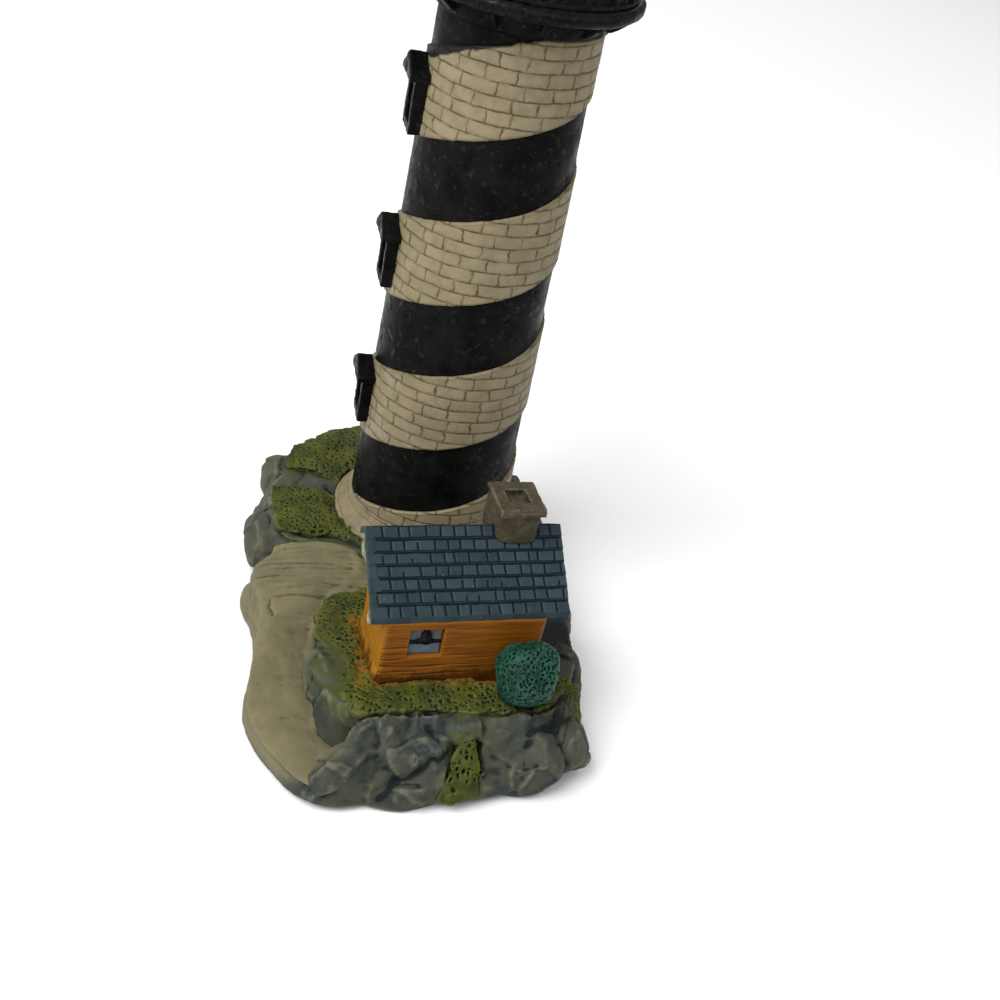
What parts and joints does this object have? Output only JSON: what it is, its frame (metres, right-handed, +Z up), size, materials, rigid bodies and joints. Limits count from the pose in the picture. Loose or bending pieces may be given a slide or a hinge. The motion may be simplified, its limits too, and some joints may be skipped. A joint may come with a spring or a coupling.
{
  "type": "lighthouse garden figurine",
  "caption": "Small cast lighthouse ornament with a spiral black and cream brick tower, cottage, path and turf on a craggy rock base.",
  "frame": {"origin": "foot of the tower's axis on the surface that the felt under the base rests on", "axes": "+Z up along the tower, -Y towards the cottage's front and the viewer, -X towards the side with the tower windows and the path"},
  "size_m": [0.0507, 0.081, 0.1221],
  "materials": {
    "felt": "dark green felt under the base",
    "rock": "matt grey painted resin with tan dry-brushed crests and dark crevices",
    "path": "matt tan-grey painted resin, smoother than the rock",
    "turf": "olive painted resin with dark pits and yellow-green dry-brushing",
    "bush": "teal-green painted resin with dark winding pits",
    "cream_brick": "cream painted brickwork with tan joints",
    "black_paint": "satin black paint over cast resin with small air-bubble pits",
    "lantern_yellow": "glossy pale yellow paint that stands for lit glass",
    "orange_wall": "orange-brown painted boards with dark grain lines",
    "slate_roof": "slate-blue painted shingles with dark joints",
    "white_trim": "off-white painted trim",
    "chimney": "matt taupe painted resin",
    "window_blue": "light blue paint that stands for glass",
    "door_brown": "dark brown painted planks"
  },
  "bodies": {
    "root": {"felt_pad": "felt", "rock_base": "rock", "footpath": "path", "landing": "path", "left_crag": "rock", "middle_crag": "rock", "right_crag": "rock", "step_stone": "rock", "back_turf": "turf", "left_turf": "turf", "cottage_turf": "turf", "front_turf": "turf", "gully_turf": "turf", "edge_turf": "turf", "bush": "bush", "tower_foot": "cream_brick", "tower_shaft": "black_paint", "brick_spiral": "cream_brick", "lower_window_frame": "black_paint", "middle_window_frame": "black_paint", "upper_window_frame": "black_paint", "lower_window_pane": "black_paint", "middle_window_pane": "black_paint", "upper_window_pane": "black_paint", "lower_window_hood": "black_paint", "middle_window_hood": "black_paint", "upper_window_hood": "black_paint", "gallery_corbel": "black_paint", "gallery_deck": "black_paint", "gallery_parapet": "black_paint", "watch_room": "black_paint", "lantern_deck": "black_paint", "lantern_curb": "black_paint", "lantern_glazing": "lantern_yellow", "lantern_bars": "black_paint", "lantern_roof": "black_paint", "lantern_finial": "black_paint", "cottage_walls": "orange_wall", "cottage_roof": "slate_roof", "left_barge_boards": "white_trim", "right_barge_boards": "white_trim", "chimney_stack": "chimney", "chimney_cap": "chimney", "cottage_window_pane": "window_blue", "cottage_window_bars": "black_paint", "cottage_door": "door_brown"}
  },
  "joints": []
}
